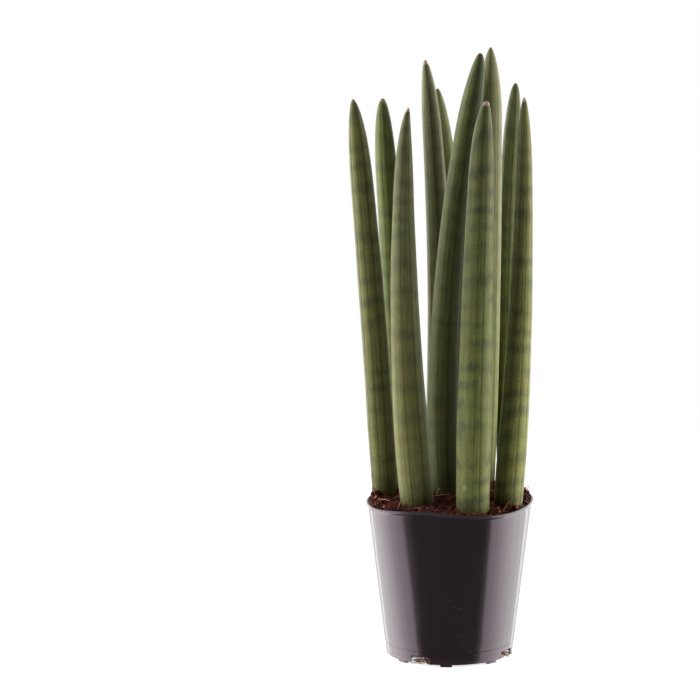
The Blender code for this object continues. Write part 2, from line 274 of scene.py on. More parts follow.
# Each profile point is an offset from the outside of the CAD wall, and a height.
wall_profile = rounded_profile(
    [(-POT_WALL - BAND_RECESS, FLOOR_UNDER), (-POT_WALL - BAND_RECESS, FOOT),
     (-BAND_RECESS, FOOT), (-BAND_RECESS, BAND_TOP), (0.0, BAND_TOP + BAND_RECESS),
     (0.0, RIM - POT_LIP - 0.6 * MM), (LIP_PROUD, RIM - POT_LIP + 1.0 * MM), (LIP_PROUD, RIM),
     (-POT_WALL, RIM), (-POT_WALL, FLOOR_OVER)],
    (0.3 * MM, 0.5 * MM, 0.25 * MM, 0.3 * MM, 0.5 * MM, 0.4 * MM, 0.8 * MM, 0.5 * MM))
wall_profile = fill_in(wall_profile, 6.0 * MM)
POT_SIDES = 288
pot_turns = np.linspace(0.0, 2 * np.pi, POT_SIDES, endpoint=False)


def flat_rings(radii, height):
    """Round level rings at one height."""
    ring = np.stack([np.cos(pot_turns), np.sin(pot_turns)], axis=-1)
    rings = np.asarray(radii)[:, None, None] * ring
    return np.concatenate([rings, np.full(rings.shape[:2] + (1,), height)], axis=-1)


def wall_rings(profile):
    """Rings of the wall: radius = the CAD wall's at that height plus the profile's offset,
    height = the profile's plus the rim's warp."""
    offset, height = profile[:, :1], profile[:, 1:]
    radius = wall_radius(pot_turns[None, :], height) + offset
    rise = height + rim_rise(pot_turns[None, :], height)
    return np.stack([radius * np.cos(pot_turns), radius * np.sin(pot_turns), rise], axis=-1)


floor_reach = np.linspace(PAD_RADIUS, 42.0 * MM, 4)
pot_rings = np.concatenate([
    flat_rings([2.0 * MM, PAD_RADIUS - 0.4 * MM], 0.0),
    flat_rings([PAD_RADIUS], 0.4 * MM),
    flat_rings(floor_reach, FLOOR_UNDER),
    wall_rings(wall_profile),
    flat_rings(floor_reach[::-1], FLOOR_OVER),
    flat_rings([2.0 * MM], FLOOR_OVER)])
pot_points, pot_quads = capped_rings(pot_rings)
pot = new_piece("pot_moulding", pot_points, pot_quads, pot_material)
above_lip_foot = pot_points[:, 2] - rim_rise(np.arctan2(pot_points[:, 1], pot_points[:, 0]),
                                             pot_points[:, 2]) - (RIM - POT_LIP)
store(pot.data, "lip", np.clip(above_lip_foot / MM, 0.0, 1.0))


def spaced_blocks(count, first_turn, inner, outer, width, bottom, top):
    """Boxes evenly round the axis, each from an inner to an outer distance from it."""
    turns = np.radians(first_turn + 360.0 * np.arange(count) / count)
    away = np.stack([np.cos(turns), np.sin(turns)], axis=1)
    aside = np.stack([-np.sin(turns), np.cos(turns)], axis=1)
    reach = np.array([inner, outer, outer, inner])[None, :, None]
    shift = np.array([-0.5, -0.5, 0.5, 0.5])[None, :, None] * width
    flat = away[:, None] * reach + aside[:, None] * shift
    levels = [np.concatenate([flat, np.full(flat.shape[:2] + (1,), z)], axis=-1)
              for z in (bottom, top)]
    points = np.concatenate(levels, axis=1).reshape(-1, 3)
    box = np.array([(0, 3, 2, 1), (4, 5, 6, 7), (0, 1, 5, 4),
                    (1, 2, 6, 5), (2, 3, 7, 6), (3, 0, 4, 7)])
    faces = (box[None] + 8 * np.arange(count)[:, None, None]).reshape(-1, 4)
    return points, faces.tolist()


def combine(piece, name, shape, operation, edge_round):
    """Joins or cuts a piece with blocks whose upright edges are slightly rounded, and
    keeps the result as the piece's own mesh."""
    blocks = new_piece(name, *shape, piece.data.materials[0])
    soften = blocks.modifiers.new("soft edges", "BEVEL")
    soften.width, soften.segments = edge_round, 2
    boolean = piece.modifiers.new(name, "BOOLEAN")
    boolean.operation, boolean.object = operation, blocks
    graph = bpy.context.evaluated_depsgraph_get()
    made = bpy.data.meshes.new_from_object(piece.evaluated_get(graph))
    piece.modifiers.clear()
    piece.data = made
    bpy.data.objects.remove(blocks)


FOOT_TURN, FOOT_WIDTH = -93.0, 8.6 * MM
SLOT_TURN, SLOT_WIDTH, SLOT_HEIGHT = -117.0, 15.4 * MM, 5.4 * MM
# outside of the wall at its bottom edge, where the feet and the slots are
skirt = float(wall_radius(np.array(0.0), np.array(FOOT))) - BAND_RECESS
combine(pot, "feet", spaced_blocks(8, FOOT_TURN, skirt - 2.3 * MM, skirt - 0.3 * MM,
                                   FOOT_WIDTH, 0.0, 2 * FOOT), "UNION", 0.25 * MM)
combine(pot, "slots", spaced_blocks(4, SLOT_TURN, skirt - 10.3 * MM, skirt + 3.0 * MM,
                                    SLOT_WIDTH, -FOOT, FOOT + SLOT_HEIGHT), "DIFFERENCE", 0.06 * MM)
pot.data.shade_smooth()
pot.data.set_sharp_from_angle(angle=np.radians(35.0))
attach(pot, "root")
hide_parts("pot")


# ================================================================== potting mix
# Coir potting mix: reddish-brown pith crumbs and fibre, pressed in to the rim and heaped
# between the leaves.  It only fills the pot and is held by it.

rng = np.random.default_rng(7)
mix_faces = triangles("potting_mix")
mix_normals = np.cross(mix_faces[:, 1] - mix_faces[:, 0], mix_faces[:, 2] - mix_faces[:, 0])
mix_normals /= np.linalg.norm(mix_normals, axis=1)[:, None]
near_rim = mix_faces[:, :, 2].min(axis=1) > RIM - 5.0 * MM
mix_tops = mix_faces[(mix_normals[:, 2] > 0.75) & near_rim].reshape(-1, 3)
MIX_SCALE = 60.0 * MM
MIX_GAP = 0.3 * MM
EDGE_DIP, EDGE_WIDTH = 1.4 * MM, 2.0 * MM     # the mix sinks a little along the wall


def surface_terms(x, y):
    """Products of powers of x and y up to the fourth degree together."""
    x, y = np.asarray(x) / MIX_SCALE, np.asarray(y) / MIX_SCALE
    return np.stack([x ** i * y ** j for i in range(5) for j in range(5 - i)], axis=-1)


mix_fit = np.linalg.lstsq(surface_terms(mix_tops[:, 0], mix_tops[:, 1]), mix_tops[:, 2],
                          rcond=None)[0]

# Loose heaps, and a hollow at the front right: place x and y, height and spread, in
# millimetres.
HEAPS = np.array([(-53.5, -5.5, 5.5, 5.0), (54.0, -2.0, 5.0, 6.0), (-31.0, -22.0, 1.5, 8.0),
                  (48.0, 18.0, 3.5, 8.0), (-6.0, 30.0, 2.0, 12.0), (20.0, 2.0, 1.5, 9.0),
                  (42.0, -36.0, -2.0, 9.0)]) * MM

crumb_waves = rng.normal(size=(90, 2))
crumb_waves *= (rng.uniform(0.22, 1.7, 90) / np.linalg.norm(crumb_waves, axis=1) / MM)[:, None]
crumb_phases = rng.uniform(0.0, 2 * np.pi, 90)
crumb_sizes = 0.85 * MM / np.linalg.norm(crumb_waves * MM, axis=1) ** 0.6 / np.sqrt(90)


def mix_height(x, y):
    """Height of the mix: the fourth-degree surface through the CAD mix's top, bell-shaped
    heaps, and crumbs as a sum of ninety random waves, all fading out just inside the rim."""
    phase = x[..., None] * crumb_waves[:, 0] + y[..., None] * crumb_waves[:, 1] + crumb_phases
    crumbs = (np.sin(phase) * crumb_sizes).sum(axis=-1)
    apart = (x[..., None] - HEAPS[:, 0]) ** 2 + (y[..., None] - HEAPS[:, 1]) ** 2
    heaps = (HEAPS[:, 2] * np.exp(-apart / HEAPS[:, 3] ** 2)).sum(axis=-1)
    inside = wall_radius(np.arctan2(y, x), np.full(np.shape(x), RIM)) - POT_WALL - np.hypot(x, y)
    fade = np.clip(inside / EDGE_WIDTH, 0.0, 1.0)
    return surface_terms(x, y) @ mix_fit - EDGE_DIP * (1 - fade) + fade * (crumbs + heaps)


def coir_material(name, codes, cell):
    """Mottled matte coir whose tone comes from each crumb's or fibre's own number."""
    material, tree = new_material(name)
    place = add(tree, "TexCoord").outputs["Object"]
    own = add(tree, "Attribute", {"attribute_name": "tone"}).outputs["Fac"]
    clumps = add(tree, "TexNoise", inputs={"Vector": place, "Scale": 1.0 / cell, "Detail": 5.0,
                                           "Roughness": 0.7})
    blend = add(tree, "Math", {"operation": "ADD"}, {0: own, 1: clumps.outputs[0]})
    tone = add(tree, "MapRange", inputs={"Value": blend.outputs[0], "From Min": 0.3, "From Max": 1.5})
    colour = add(tree, "ValToRGB", inputs={"Fac": tone.outputs[0]},
                 stops=[(place, linear(code)) for place, code in codes])
    bump = add(tree, "Bump", inputs={"Height": clumps.outputs[0], "Strength": 0.8,
                                     "Distance": 0.6 * MM})
    shader = add(tree, "BsdfPrincipled", inputs={
        "Base Color": colour.outputs[0], "Roughness": 0.9, "Specular IOR Level": 0.25,
        "Normal": bump.outputs[0]})
    add(tree, "OutputMaterial", inputs={"Surface": shader.outputs[0]})
    return material


# Coir: dry, matte, reddish brown, with darker damp pith and pale fibre ends.
mix_material = coir_material("coir potting mix", (
    (0.12, "#100706"), (0.86, "#9A5C49"), (0.38, "#301412"), (0.62, "#642D25")), 3.5 * MM)
fibre_material = coir_material("loose coir fibre", (
    (0.10, "#2A110D"), (0.94, "#D2A688"), (0.40, "#6A3225"), (0.70, "#A3624A")), 5.0 * MM)
# Coir at the slots, from dark gold to near white: the palest tones are a painted highlight, the light
# behind the slots shining through the fibres.
slot_material = coir_material("golden coir with painted backlight", (
    (0.14, "#120803"), (0.78, "#FFF8EA"), (0.38, "#6A3A0C"), (0.58, "#B5772A")), 3.0 * MM)

MIX_SIDES = 288
mix_turns = np.linspace(0.0, 2 * np.pi, MIX_SIDES, endpoint=False)
side_heights = np.linspace(FLOOR_OVER + MIX_GAP, RIM - 2.0 * MM, 8)[:, None]
side_radius = wall_radius(mix_turns[None], side_heights) - POT_WALL - MIX_GAP
side_rings = np.stack([side_radius * np.cos(mix_turns), side_radius * np.sin(mix_turns),
                       side_heights + rim_rise(mix_turns[None], side_heights)], axis=-1)
edge_radius = wall_radius(mix_turns, np.full(MIX_SIDES, RIM)) - POT_WALL - MIX_GAP
shares = np.linspace(1.0, 0.012, 110)[:, None]
top_x, top_y = shares * edge_radius * np.cos(mix_turns), shares * edge_radius * np.sin(mix_turns)
top_rings = np.stack([top_x, top_y, mix_height(top_x, top_y)], axis=-1)
mix_points, mix_quads = capped_rings(np.concatenate([side_rings, top_rings]))
mix = new_piece("potting_mix_fill", mix_points, mix_quads, mix_material, 180.0)
store(mix.data, "tone", np.full(len(mix_points), 0.30))
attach(mix, "root")
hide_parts("potting_mix")

leaf_names = sorted(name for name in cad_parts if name.startswith("leaf_"))


def circle_through(points):
    """Centre and radius of the circle that fits points best, by a linear fit."""
    flat = points[:, :2]
    known = np.concatenate([2 * flat, np.ones((len(flat), 1))], axis=1)
    solved = np.linalg.lstsq(known, (flat ** 2).sum(axis=1), rcond=None)[0]
    return solved[0], solved[1], np.sqrt(solved[2] + solved[0] ** 2 + solved[1] ** 2)


leaf_feet = np.array([circle_through(level_cut(triangles(name), RIM + 4.0 * MM))
                      for name in leaf_names])


def loose_places(count, rng, reach=1.0):
    """Random places on the mix, even over its area, that no leaf stands on."""
    turn, share = rng.uniform(0, 2 * np.pi, count * 3), np.sqrt(rng.uniform(0, 1, count * 3))
    radius = share * reach * (wall_radius(turn, np.full(count * 3, RIM)) - POT_WALL - 0.8 * MM)
    x, y = radius * np.cos(turn), radius * np.sin(turn)
    apart = np.hypot(x[:, None] - leaf_feet[:, 0], y[:, None] - leaf_feet[:, 1])
    free = (apart > leaf_feet[:, 2] + 0.4 * MM).all(axis=1)
    return x[free][:count], y[free][:count]


def random_turns(count, rng):
    """Rotation matrices from random unit quaternions."""
    w, x, y, z = (rng.normal(size=(count, 4))).T
    size = np.sqrt(w * w + x * x + y * y + z * z)
    w, x, y, z = w / size, x / size, y / size, z / size
    return np.stack([
        1 - 2 * (y * y + z * z), 2 * (x * y - w * z), 2 * (x * z + w * y),
        2 * (x * y + w * z), 1 - 2 * (x * x + z * z), 2 * (y * z - w * x),
        2 * (x * z - w * y), 2 * (y * z + w * x), 1 - 2 * (x * x + y * y)],
        axis=-1).reshape(-1, 3, 3)


def crumb_shapes(places, sizes, rng):
    """Crumbs: icosahedra whose corners move in and out at random, stretched and turned."""
    golden = (1 + 5 ** 0.5) / 2
    corners = np.array([(a, b * golden, 0) for a in (-1, 1) for b in (-1, 1)], float)
    corners = np.vstack([corners, np.roll(corners, 1, axis=1), np.roll(corners, 2, axis=1)])
    corners /= np.linalg.norm(corners[0])
    near = np.linalg.norm(corners[:, None] - corners[None], axis=2) < 1.2
    faces = np.array([(i, j, k) for i in range(12) for j in range(i + 1, 12)
                      for k in range(j + 1, 12) if near[i, j] and near[j, k] and near[i, k]])
    normals = np.cross(corners[faces[:, 1]] - corners[faces[:, 0]],
                       corners[faces[:, 2]] - corners[faces[:, 0]])
    inward = (normals * corners[faces[:, 0]]).sum(axis=1) < 0
    faces[inward] = faces[inward][:, ::-1]
    count = len(places)
    shapes = corners[None] * (1 + rng.uniform(-0.35, 0.30, (count, 12, 1)))
    shapes = shapes * (sizes[:, None] * rng.uniform(0.55, 1.2, (count, 3)))[:, None, :]
    shapes = np.einsum("nij,nkj->nki", random_turns(count, rng), shapes) + places[:, None, :]
    joined = (faces[None] + 12 * np.arange(count)[:, None, None]).reshape(-1, 3)
    return shapes.reshape(-1, 3), joined


def fibre_shapes(starts, headings, lengths, arches, bends, widths, dips):
    """Fibres: three-sided tubes of eight rings along an arc.

    At a share s of its length a fibre has gone length * s along its heading, bend * s^2
    to the side, and arch * 4 s (1 - s) + dip * s upwards; it thins towards both ends.
    """
    share = np.linspace(0.0, 1.0, 8)[None, :]
    ahead = np.stack([np.cos(headings), np.sin(headings), 0 * headings], axis=-1)
    aside = np.stack([-np.sin(headings), np.cos(headings), 0 * headings], axis=-1)
    up = np.array([0.0, 0.0, 1.0])
    rise = arches[:, None] * 4 * share * (1 - share) + dips[:, None] * share
    spine = starts[:, None] + ahead[:, None] * (lengths[:, None] * share)[..., None] \
        + aside[:, None] * (bends[:, None] * share ** 2)[..., None] + up * rise[..., None]
    along = np.gradient(spine, axis=1)
    along /= np.linalg.norm(along, axis=2)[..., None]
    side = np.cross(along, up)
    side /= np.maximum(np.linalg.norm(side, axis=2), 1e-6)[..., None]
    over = np.cross(side, along)
    radius = widths[:, None] / 2 * (0.45 + 0.55 * np.sin(np.pi * (0.1 + 0.8 * share)))
    turns = np.arange(3) * 2 * np.pi / 3
    around = side[:, :, None] * np.cos(turns)[:, None] + over[:, :, None] * np.sin(turns)[:, None]
    points = spine[:, :, None] + around * radius[..., None, None]
    rings, sides = 8, 3
    quads = ring_quads(rings, sides)[:, ::-1]
    count = len(starts)
    body = (quads[None] + rings * sides * np.arange(count)[:, None, None]).reshape(-1, 4)
    ends = np.array([(0, 1, 2), (23, 22, 21)])
    caps = (ends[None] + rings * sides * np.arange(count)[:, None, None]).reshape(-1, 3)
    return points.reshape(-1, 3), body.tolist() + caps.tolist()


def ride_with_mix(piece, tones):
    """A loose part of the mix: its tones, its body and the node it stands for."""
    store(piece.data, "tone", tones)
    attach(piece, "root")
    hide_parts("potting_mix")


CRUMBS = 6500
crumb_x, crumb_y = loose_places(CRUMBS, rng)
crumb_radii = np.minimum(rng.lognormal(np.log(0.75), 0.45, len(crumb_x)), 2.4) * MM
crumb_places = np.stack([crumb_x, crumb_y, mix_height(crumb_x, crumb_y) + 0.35 * crumb_radii],
                        axis=-1)
crumb_points, crumb_faces = crumb_shapes(crumb_places, crumb_radii, rng)
crumbs = new_piece("coir_crumbs", crumb_points, crumb_faces.tolist(), mix_material, 30.0)
ride_with_mix(crumbs, np.repeat(rng.beta(1.6, 2.6, len(crumb_x)) * 1.1, 12))

FIBRES = 3000
fibre_x, fibre_y = loose_places(FIBRES, rng, 0.97)
number = len(fibre_x)
fibre_starts = np.stack([fibre_x, fibre_y, mix_height(fibre_x, fibre_y) + 0.3 * MM], axis=-1)
fibre_lengths = rng.uniform(2.0, 9.0, number) * MM
headings = rng.uniform(0, 2 * np.pi, number)
landing = fibre_starts[:, :2] \
    + fibre_lengths[:, None] * np.stack([np.cos(headings), np.sin(headings)], axis=1)
landed = np.hypot(*landing.T) < 56.0 * MM     # the others would reach over the rim: cut short
drop = np.where(landed, mix_height(landing[:, 0], landing[:, 1]) - fibre_starts[:, 2], 0.4 * MM)
fibre_points, fibre_faces = fibre_shapes(
    fibre_starts, headings, np.where(landed, fibre_lengths, 3.0 * MM),
    rng.uniform(0.1, 2.2, number) * MM, rng.normal(0, 1.1, number) * MM,
    rng.uniform(0.14, 0.42, number) * MM,
    drop + rng.uniform(0.0, 1.5, number) * MM)
fibres = new_piece("coir_fibres", fibre_points, fibre_faces, fibre_material, 180.0)
ride_with_mix(fibres, np.repeat(rng.beta(1.2, 3.2, number), 24))

# A few long pale straws: start x and y, heading in degrees, length, arch and end rise.
STRAWS = np.array([(-14.0, -18.5, 28.0, 15.0, 0.6, 0.5), (-10.4, -17.5, 40.0, 5.0, 0.3, 6.0),
                   (-25.6, -42.0, -15.0, 6.5, 0.8, 0.0), (-50.0, -19.0, -55.0, 13.0, 0.6, 0.6),
                   (-36.5, -40.5, 75.0, 6.0, 0.1, 6.5), (31.0, -35.0, -30.0, 5.0, 0.6, 0.5),
                   (38.0, -42.0, 50.0, 7.0, 0.3, 7.0), (44.5, -36.0, 52.0, 15.0, 0.8, 2.5),
                   (-14.0, -34.0, 62.0, 9.0, 0.3, 2.5), (20.0, 6.0, 35.0, 12.0, 1.5, 2.0),
                   (-2.0, 44.0, 170.0, 16.0, 1.5, 2.0), (-40.0, 34.0, 215.0, 14.0, 1.5, 1.0),
                   (38.0, 38.0, -30.0, 13.0, 1.2, 1.0), (-20.0, -14.0, 10.0, 9.0, 0.8, 1.0)])
straw_x, straw_y = STRAWS[:, 0] * MM, STRAWS[:, 1] * MM
straw_starts = np.stack([straw_x, straw_y, mix_height(straw_x, straw_y) + 1.0 * MM], axis=-1)
straw_bends = np.where(np.arange(len(STRAWS)) % 2, 1.0, -1.0) * 0.9 * MM
straw_points, straw_faces = fibre_shapes(
    straw_starts, np.radians(STRAWS[:, 2]), STRAWS[:, 3] * MM, STRAWS[:, 4] * MM,
    straw_bends, np.full(len(STRAWS), 0.55 * MM), STRAWS[:, 5] * MM)
straws = new_piece("pale_straws", straw_points, straw_faces, fibre_material, 180.0)
ride_with_mix(straws, np.full(len(straw_points), 0.85))

# Fibres hanging in the drainage slots: short, golden, springing from behind the wall.
SLOT_FIBRES = 190
slot_turns = np.radians(SLOT_TURN + 90.0 * np.arange(4)).repeat(SLOT_FIBRES)
number = len(slot_turns)
slot_aside = rng.uniform(-6.8, 6.8, number) * MM
slot_away = skirt - rng.uniform(1.4, 6.0, number) * MM
slot_fibre_starts = np.stack([
    slot_away * np.cos(slot_turns) - slot_aside * np.sin(slot_turns),
    slot_away * np.sin(slot_turns) + slot_aside * np.cos(slot_turns),
    rng.uniform(1.4, 4.6, number) * MM], axis=-1)
slot_points, slot_faces = fibre_shapes(
    slot_fibre_starts, rng.uniform(0, 2 * np.pi, number), rng.uniform(1.5, 3.5, number) * MM,
    rng.uniform(-1.2, 1.0, number) * MM, rng.normal(0, 1.0, number) * MM,
    rng.uniform(0.3, 0.7, number) * MM, rng.uniform(-0.3, 0.6, number) * MM)
slot_points[:, 2] = np.maximum(slot_points[:, 2], 0.15 * MM)
slot_fibres = new_piece("slot_fibres", slot_points, slot_faces, slot_material, 180.0)
ride_with_mix(slot_fibres, np.repeat(rng.beta(1.0, 1.3, number), 24))


# ================================================================== leaves
# Ten straight, solid, cylindrical leaves.  Each grew as one piece, firm and waxy, with
# shallow furrows along it, blurred cross bands, and a dry brown point.

TIP_LENGTH = 55.0 * MM
ROOT_DEPTH = 32.0 * MM
POLYGON_LOSS = 0.987          # a circle fitted to a sixteen-sided tube is this much too small

# Each leaf's tone at the foot and near the point, how olive it is, how strongly banded, how
# much bloom it has, its tip's fullness (less is blunter), how far its point leans to the
# right in millimetres, how pale the point is, and the direction and depth of a painted shade
# down the side of it turned towards the front.
CHARACTER = {
    "leaf_01": (0.92, 1.05, 0.9, 0.60, 0.1, 0.95, -1.0, 0.8, -60.0, 0.20),
    "leaf_02": (0.98, 1.16, 0.1, 0.45, 0.1, 0.80, 0.9, 0.9, -80.0, 0.05),
    "leaf_03": (1.06, 0.95, 0.8, 0.45, 0.5, 0.92, 2.0, 1.0, -85.0, 0.20),
    "leaf_04": (1.10, 1.42, 1.0, 0.30, 1.0, 0.85, -0.7, 1.0, -85.0, 0.35),
    "leaf_05": (1.20, 1.22, 0.2, 0.25, 0.5, 0.85, 0.0, 0.2, -90.0, 0.0),
    "leaf_06": (0.84, 0.84, 0.1, 0.40, 0.0, 0.76, -0.3, 0.1, -58.0, 0.70),
    "leaf_07": (1.25, 1.40, 0.7, 0.25, 0.8, 1.15, 0.3, 0.3, -90.0, 0.0),
    "leaf_08": (1.26, 0.74, 0.5, 0.80, 0.1, 0.84, 2.2, 0.9, -100.0, 0.12),
    "leaf_09": (0.85, 0.90, 0.1, 0.40, 0.3, 0.85, 0.2, 0.2, -90.0, 0.0),
    "leaf_10": (1.72, 1.25, 0.8, 0.64, 0.3, 0.85, 0.0, 1.0, -125.0, 0.50)}


def pointed(below_tip):
    """Quarter ellipse that closes a leaf over the length of its tip."""
    share = np.clip(below_tip / TIP_LENGTH, 0.0, 1.0)
    return np.sqrt(1 - (1 - share) ** 2)


def footed(above_root):
    """Rounded foot below the mix: full at the surface, closed at the root's depth."""
    share = np.clip(1.0 - above_root / ROOT_DEPTH, 0.0, 1.0)
    return np.sqrt(1 - share ** 2.5)


def leaf_measures(node):
    """The CAD leaf's lowest and highest points, its centre line as cubics in the height,
    and its thickness as a seventh-degree curve once the foot and the tip are divided out."""
    faces = triangles(node)
    low, high = faces[..., 2].min(), faces[..., 2].max()
    heights = np.linspace(low + 3.0 * MM, high - 3.0 * MM, 70)
    sections = np.array([circle_through(level_cut(faces, height)) for height in heights])
    share = (heights - low) / (high - low)
    body = sections[:, 2] / POLYGON_LOSS / pointed(high - heights) / footed(heights - low)
    return low, high, np.polyfit(share, sections[:, 0], 3), np.polyfit(share, sections[:, 1], 3), \
        np.polyfit(share, body, 7)


FINE_TIP = 26.0 * MM          # towards the point the rings stand closer together
RING_STEP = 1.5 * MM
PATTERN_STEP = 0.9            # metres between two leaves' patterns, so that no two are alike
FURROWS = 10
FURROW_WIDTH = 0.45 * MM
FURROW_DEPTH = 0.20 * MM


def leaf_columns(furrow_turns, radius):
    """Angles of the grid lines: five close together over each furrow, eight between."""
    near = np.array([-2.0, -1.0, 0.0, 1.0, 2.0]) * FURROW_WIDTH / radius
    ends = np.append(furrow_turns[1:], furrow_turns[0] + 2 * np.pi)
    between = np.linspace(furrow_turns + near[-1], ends + near[0], 10)[1:-1].T
    return np.concatenate([furrow_turns[:, None] + near, between], axis=1).reshape(-1)


def make_leaf(index, node, material):
    """One leaf: rings across the centre line, closed at the foot and the tip.

    The radius is the CAD thickness, made slightly oval and lobed by low waves round it,
    swollen and pinched a little along it, and sunk by a bell-shaped furrow at ten angles.
    """
    rng = np.random.default_rng(100 + index)
    (foot_tone, tip_tone, olive, banding, bloom,
     fullness, lean, pale, painted_shade_turn, painted_shade_depth) = CHARACTER[node]
    low, high, fit_x, fit_y, fit_r = leaf_measures(node)
    length = high - low
    body = np.arange(low + 0.6 * MM, high - FINE_TIP, RING_STEP)
    taper = high - FINE_TIP * (1 - np.sin(np.linspace(0.0, 1.0, 40) * np.pi / 2))
    heights = np.concatenate([body, taper[:-1]])[:, None]
    share = (heights - low) / length
    radius = np.polyval(fit_r, share) * pointed(high - heights) ** fullness * footed(heights - low)
    thick = float(np.polyval(fit_r, 0.4))
    spread = 2 * np.pi / FURROWS
    furrows = (np.arange(FURROWS) + rng.uniform(-0.22, 0.22, FURROWS)) * spread
    furrows = furrows + rng.uniform(0.0, spread)
    turns = leaf_columns(furrows, thick)[None, :]
    away = (turns[:, :, None] - furrows + np.pi) % (2 * np.pi) - np.pi
    depths = rng.uniform(0.55, 1.15, FURROWS)
    sunk = (np.exp(-(away * thick / FURROW_WIDTH) ** 2) * depths).sum(axis=2)
    phases = rng.uniform(0, 2 * np.pi, 5)
    lobes = 1 + 0.014 * np.cos(2 * turns + phases[0]) + 0.008 * np.cos(3 * turns + phases[1])
    swell = sum(0.004 * np.sin(heights / (size * MM) + phase)
                for size, phase in zip((9.0, 17.0, 31.0), phases[2:]))
    girth = radius * lobes * (1 + swell) - FURROW_DEPTH * sunk * np.clip(radius / thick, 0.0, 1.0)
    tip_lean = lean * MM * np.exp(-(high - heights) / (12.0 * MM))
    centre = np.stack([np.polyval(fit_x, share) + tip_lean, np.polyval(fit_y, share), heights],
                      axis=-1)
    ahead = np.gradient(centre[:, 0], axis=0)
    ahead /= np.linalg.norm(ahead, axis=1)[:, None]
    side = np.array([1.0, 0.0, 0.0]) - ahead * ahead[:, :1]
    side /= np.linalg.norm(side, axis=1)[:, None]
    across = np.cross(ahead, side)
    points = centre + girth[..., None] * (
        np.cos(turns)[..., None] * side[:, None] + np.sin(turns)[..., None] * across[:, None])
    skin, faces = capped_rings(points)
    skin[-1, 2] = high
    leaf = new_piece(node + "_blade", skin, faces, material, 180.0)
    shift = np.array([0.0, 0.0, PATTERN_STEP * index])
    straight = np.stack([thick * np.cos(turns) + 0 * heights, thick * np.sin(turns) + 0 * heights,
                         heights + 0 * turns], axis=-1).reshape(-1, 3)
    straight = np.vstack([straight, [(0.0, 0.0, low), (0.0, 0.0, high)]]) + shift
    store(leaf.data, "straight", straight)
    store(leaf.data, "furrow", np.append(np.tile(sunk[0], len(heights)), [0.0, 0.0]))
    store(leaf.data, "below_tip", high - skin[:, 2])
    store(leaf.data, "above_mix", skin[:, 2] - low - ROOT_DEPTH)
    # painted shade: the colour is darkened on the side of the leaf turned towards the front (near -Y),
    # where the side lights miss it and neighbours shade it
    painted_face_shade = np.exp(-(((turns - np.radians(painted_shade_turn) + np.pi) % (2 * np.pi) - np.pi) / 0.75) ** 2)
    above = np.clip((heights - low - ROOT_DEPTH) / (length - ROOT_DEPTH), 0.0, 1.0)
    tone_and_painted_shade = (foot_tone + (tip_tone - foot_tone) * above) * (1 - painted_shade_depth * painted_face_shade)
    store(leaf.data, "tone_and_painted_shade", np.append(tone_and_painted_shade.reshape(-1), [foot_tone, tip_tone]))
    for name, value in (("olive", olive), ("banding", banding), ("bloom", bloom), ("pale_point", pale)):
        store(leaf.data, name, np.full(len(skin), value))
    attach(leaf, "root")
    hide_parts(node)


# Living leaf: a thin wax over grey-green tissue, satin, paler where it is seen edge on, with
# painted shade darkening the furrows, smudged darker bands across it and a dry point.
leaf_material, tree = new_material("waxy snake plant leaf")
straight = add(tree, "Attribute", {"attribute_name": "straight"}).outputs["Vector"]
furrow, below_tip, above_mix, tone_and_painted_shade, olive, banding, bloom, pale_point = (
    add(tree, "Attribute", {"attribute_name": name}).outputs["Fac"]
    for name in ("furrow", "below_tip", "above_mix", "tone_and_painted_shade", "olive", "banding", "bloom",
                 "pale_point"))

# tissue: green to olive, in broad patches
broad = add(tree, "TexNoise", inputs={"Vector": straight, "Scale": 32.0, "Detail": 3.0})
broad_wide = add(tree, "MapRange", inputs={"Value": broad.outputs[0], "From Min": 0.3,
                                           "From Max": 0.7, "To Min": -0.35, "To Max": 0.35})
oliveness = add(tree, "Math", {"operation": "ADD", "use_clamp": True},
                {0: olive, 1: broad_wide.outputs[0]})
tissue = add(tree, "Mix", {"data_type": "RGBA"},
             {0: oliveness.outputs[0], 6: linear("#626B39"), 7: linear("#6C6A3B")})

# a greyer bloom of wax on the upper half
bloom_height = add(tree, "MapRange", {"interpolation_type": "SMOOTHSTEP"},
                   {"Value": above_mix, "From Min": 0.08, "From Max": 0.25, "To Max": 0.8})
bloomed = add(tree, "Math", {"operation": "MULTIPLY"}, {0: bloom_height.outputs[0], 1: bloom})
tissue = add(tree, "Mix", {"data_type": "RGBA"},
             {0: bloomed.outputs[0], 6: tissue.outputs[2], 7: linear("#6E6B52")})

# bands: a wave of 16 mm along the leaf, its phase pushed by patches, strips and fibres
BAND_PERIOD = 16.0 * MM
strip_way = add(tree, "Mapping", inputs={"Vector": straight, "Scale": (1.0, 1.0, 0.05)}).outputs[0]
strips = add(tree, "TexNoise", inputs={"Vector": strip_way, "Scale": 420.0, "Detail": 2.0})
ragged_way = add(tree, "Mapping", inputs={"Vector": straight, "Scale": (1.0, 1.0, 0.15)}).outputs[0]
ragged = add(tree, "TexNoise", inputs={"Vector": ragged_way, "Scale": 1100.0, "Detail": 2.0})
warp = add(tree, "TexNoise", inputs={"Vector": straight, "Scale": 16.0, "Detail": 1.0})
along = add(tree, "SeparateXYZ", inputs={0: straight}).outputs["Z"]
pushed = along
for noise, push in ((strips, 11.0 * MM), (ragged, 6.0 * MM), (warp, 45.0 * MM)):
    pushed = add(tree, "Math", {"operation": "MULTIPLY_ADD"},
                 {0: noise.outputs[0], 1: push, 2: pushed}).outputs[0]
phase = add(tree, "Math", {"operation": "MULTIPLY"}, {0: pushed, 1: 2 * np.pi / BAND_PERIOD})
wave = add(tree, "Math", {"operation": "SINE"}, {0: phase.outputs[0]})
band_mask = add(tree, "MapRange", {"interpolation_type": "SMOOTHSTEP"},
                {"Value": wave.outputs[0], "From Min": -0.7, "From Max": 1.1})
